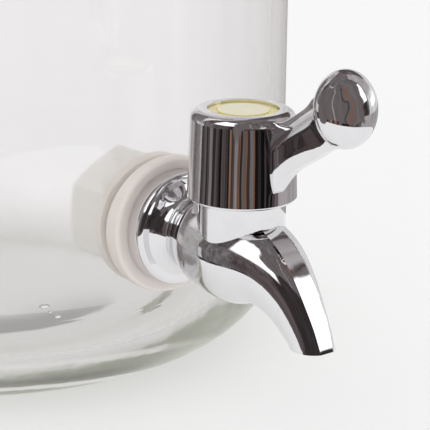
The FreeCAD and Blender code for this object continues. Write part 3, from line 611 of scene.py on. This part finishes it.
def board_colours(g, share):
    """The boards by azimuth as a share of the full turn, in runs that each fit one colour ramp."""
    boards = all_boards()
    seen = None
    for first in range(0, len(boards), STOPS_PER_RAMP):
        made = g.add("ValToRGB", {0: share})
        made.color_ramp.interpolation = "CONSTANT"
        stops = made.color_ramp.elements
        for index, (start, colour) in enumerate(boards[first:first + STOPS_PER_RAMP]):
            place = (start + 180) / 360
            # a new ramp has two stops already
            stop = stops[index] if index < 2 else stops.new(place)
            stop.position = place
            stop.color = colour
        if seen is None:
            seen = made.outputs[0]
        else:
            later = g.math("GREATER_THAN", share, (boards[first][0] + 180) / 360)
            seen = g.mix(later, seen, made.outputs[0])
    return seen


def room_colours(g, way):
    """The room as polished metal sees it, by the way it looks."""
    height = g.parts(way)["Z"]
    azimuth = g.azimuth(way)
    level_way = g.vector("NORMALIZE", g.level(way))
    patches = g.noise(way, scale=3, detail=3, rough=0.6, distortion=0.6)
    seen = g.mix(g.ramp(patches, 0.4, 0.62), paint("taupe"), paint("stone"))
    for *place, name in STUDIO.values():
        seen = g.mix(patch_mask(g, level_way, height, *place), seen, paint(name))
    share = g.math("ADD", g.math("DIVIDE", azimuth, math.tau), 0.5)
    low = g.ramp(height, *(sine(degrees) for degrees in BOARDS_TOP), 1.0, 0.0)
    seen = g.mix(low, seen, board_colours(g, share))

    # fine upright streaks in the dark tones only, then broad streaks and slow patches over all
    spread = {0: g.math("MULTIPLY", azimuth, 26.0), 1: g.math("MULTIPLY", height, 6.0)}
    fine = g.noise(g.add("CombineXYZ", spread).outputs[0], scale=1, rough=0.6)
    streaked = g.vector("MULTIPLY", seen, g.ramp(fine, 0.3, 0.7, 0.62, 1.25))
    seen = g.mix(g.ramp(g.parts(seen)["X"], 0.2, 0.35, 1.0, 0.0), seen, streaked)
    streaks = g.noise(g.stretched(way, (1, 1, 0.15)), scale=9, detail=4, rough=0.6)
    uneven = g.math("ADD", g.ramp(streaks, 0.3, 0.7, 0.78, 1.12), g.ramp(patches, 0.3, 0.7, -0.12, 0.12))
    return g.vector("MULTIPLY", seen, uneven)


def room_share(g, way):
    """How much of the room a ray sees: all after a reflection, less through glass, none otherwise."""
    parts = g.parts(way)
    path = g.add("LightPath").outputs
    through = g.math("MINIMUM", path["Transmission Depth"], 1.0)
    # the jar's far wall shows the dark room plainly at its edge, where light leaves to the back
    to_back = g.math("MULTIPLY", g.ramp(parts["X"], *BACK_X, 1.0, 0.0), g.ramp(parts["Y"], *BACK_Y))
    far_wall = g.math("SUBTRACT", path["Transmission Depth"], 2.0, clamp=True)
    plain = g.math("SUBTRACT", 1.0, g.math("MULTIPLY", to_back, far_wall))
    veil = g.math("MULTIPLY", g.math("MULTIPLY", through, plain), THROUGH_GLASS)
    reflected = g.math("MINIMUM", path["Glossy Depth"], 1.0)
    surfaces = g.math("MAXIMUM", path["Is Glossy Ray"], path["Is Transmission Ray"])
    return g.math("MULTIPLY", g.math("MULTIPLY", reflected, g.math("SUBTRACT", 1.0, veil)), surfaces)


def studio_world():
    """The room for what is reflected, and even daylight for all else."""
    world = bpy.data.worlds.new("studio")
    world.use_nodes = True
    scene.world = world
    g = Graph(world.node_tree)
    way = g.add("TexCoord").outputs["Generated"]
    room = g.add("Background", {"Color": room_colours(g, way), "Strength": 1.0})
    day = g.add("Background", {"Color": (1, 1, 1, 1), "Strength": DAYLIGHT})
    g.add("OutputWorld", {"Surface": g.add("MixShader", {0: room_share(g, way), 1: day, 2: room})})


studio_world()


# ---------------------------------------------------------------- the screen before the knob

# A dim cloth round the thumb knob, seen only in the polish: an upright cylinder round the knob's middle.
# Places and radius in mm, azimuths and elevations in degrees from that middle.
KNOB_CENTRE = VALVE + Vector((0, -34.2, 40.6)) * MM
SCREEN_RADIUS = 34.0
SCREEN_AZIMUTHS = (-122, 50)
SCREEN_ELEVATIONS = (-28, 68)
LEFT_FADE = (-120, -108)
RIGHT_FADE = (41, 47)
LOWER_FADE = (-22, -17)
UPPER_FADE = (58, 66)
SCREEN_COLUMNS = 24
SCREEN_ROWS = 12
# How far the cloth sways to each side, in degrees, and its folds: azimuth, half width, paint
SWAY = 9
FOLDS = [
    (-9, 5, "charcoal"),
    (4, 8, "oak"),
    (22, 8, "stone"),
    (-47, 5, "dove"),
]


def screen_cloth():
    """Dim cloth with upright folds, faded at its edges."""
    material, g = new_material("knob_screen")
    where = g.place()
    offset = g.vector("ADD", where, tuple(-KNOB_CENTRE))
    sway = g.ramp(g.noise(where, scale=34), 0.3, 0.7, -SWAY, SWAY)
    azimuth = g.math("ADD", g.math("MULTIPLY", g.azimuth(offset), 180 / math.pi), sway)
    slope = g.math("ARCTANGENT", g.math("DIVIDE", g.parts(offset)["Z"], SCREEN_RADIUS * MM))
    elevation = g.math("MULTIPLY", slope, 180 / math.pi)

    creases = g.noise(g.place((1, 1, 0.2)), scale=190, detail=3)
    tint = g.mix(creases, paint("taupe"), paint("stone"))
    for middle, half, name in FOLDS:
        aside = g.math("ABSOLUTE", g.math("SUBTRACT", azimuth, middle))
        tint = g.mix(g.ramp(aside, 0.0, half, 0.8, 0.0), tint, paint(name))

    shown = g.ramp(g.math("ADD", elevation, sway), *LOWER_FADE)
    shown = g.math("MULTIPLY", shown, g.ramp(azimuth, *LEFT_FADE))
    shown = g.math("MULTIPLY", shown, g.ramp(azimuth, *RIGHT_FADE, 1.0, 0.0))
    shown = g.math("MULTIPLY", shown, g.ramp(elevation, *UPPER_FADE, 1.0, 0.0))
    glow = g.add("Emission", {"Color": tint, "Strength": 1.0})
    finish_material(g, g.add("MixShader", {0: shown, 1: g.add("BsdfTransparent"), 2: glow}))
    return material


def knob_screen():
    """The part of an upright cylinder that carries the cloth."""
    left, right = (math.radians(degrees) for degrees in SCREEN_AZIMUTHS)
    bottom, top = (SCREEN_RADIUS * math.tan(math.radians(degrees)) for degrees in SCREEN_ELEVATIONS)
    points = []
    for row in range(SCREEN_ROWS + 1):
        height = bottom + (top - bottom) * row / SCREEN_ROWS
        for column in range(SCREEN_COLUMNS + 1):
            turn = left + (right - left) * column / SCREEN_COLUMNS
            out = Vector((SCREEN_RADIUS * math.sin(turn), -SCREEN_RADIUS * math.cos(turn), height))
            points.append(KNOB_CENTRE + out * MM)
    faces = []
    for row in range(SCREEN_ROWS):
        for column in range(SCREEN_COLUMNS):
            low = row * (SCREEN_COLUMNS + 1) + column
            high = low + SCREEN_COLUMNS + 1
            faces.append((low, low + 1, high + 1, high))
    screen = new_object("knob_screen", points, faces, screen_cloth())
    only_mirrored(screen)


knob_screen()


# ---------------------------------------------------------------- light and camera

# A broad, weak sun from above on the left, for the soft shadow round the foot
KEY_STRENGTH = 0.12
KEY_SPREAD = 50
KEY_WAY = Vector((0.75, 0.5, -1.0))


def key_light():
    sun = bpy.data.lights.new("key", "SUN")
    sun.energy = KEY_STRENGTH
    sun.angle = math.radians(KEY_SPREAD)
    key = bpy.data.objects.new("key", sun)
    key.rotation_euler = KEY_WAY.to_track_quat("-Z", "Y").to_euler()
    key.visible_glossy = False
    scene.collection.objects.link(key)


# A close view of the tap from its left and a little above, as it is framed in use. The pixels are
# those of a square frame; the stem's pixel is where the aim point shows.
CAMERA_AZIMUTH = -38.0
CAMERA_ELEVATION = 16.6
CAMERA_ROLL = -0.3
CAMERA_DISTANCE = 0.5
FOCAL_PIXELS = 2020.0
FRAME_PIXELS = 430.0
STEM_PIXEL = (154.6, 217.7)
AIM_POINT = VALVE + Vector((0, 33.0, 0)) * MM


def make_camera():
    azimuth, elevation, roll = (math.radians(a) for a in (CAMERA_AZIMUTH, CAMERA_ELEVATION, CAMERA_ROLL))
    back = Vector((math.sin(azimuth) * math.cos(elevation), -math.cos(azimuth) * math.cos(elevation),
                   math.sin(elevation)))
    right = Matrix.Rotation(-roll, 3, back) @ Vector((math.cos(azimuth), math.sin(azimuth), 0))
    up = back.cross(right)
    middle = FRAME_PIXELS / 2
    shift_right = (middle - STEM_PIXEL[0]) / FOCAL_PIXELS
    shift_up = (STEM_PIXEL[1] - middle) / FOCAL_PIXELS
    aim = -back + right * shift_right + up * shift_up
    swing = (-back).rotation_difference(aim.normalized())
    turned = Matrix((right, up, back)).transposed()
    data = bpy.data.cameras.new("camera")
    data.sensor_width = 36.0
    data.lens = data.sensor_width * FOCAL_PIXELS / FRAME_PIXELS
    data.clip_start = 0.01
    data.clip_end = 100.0
    camera = bpy.data.objects.new("camera", data)
    camera.location = AIM_POINT + back * CAMERA_DISTANCE
    camera.rotation_euler = (swing.to_matrix() @ turned).to_euler()
    scene.collection.objects.link(camera)
    scene.camera = camera


key_light()
make_camera()

scene.view_settings.view_transform = "Standard"
scene.cycles.max_bounces = 24
scene.cycles.transmission_bounces = 20
scene.cycles.glossy_bounces = 8
scene.cycles.transparent_max_bounces = 24
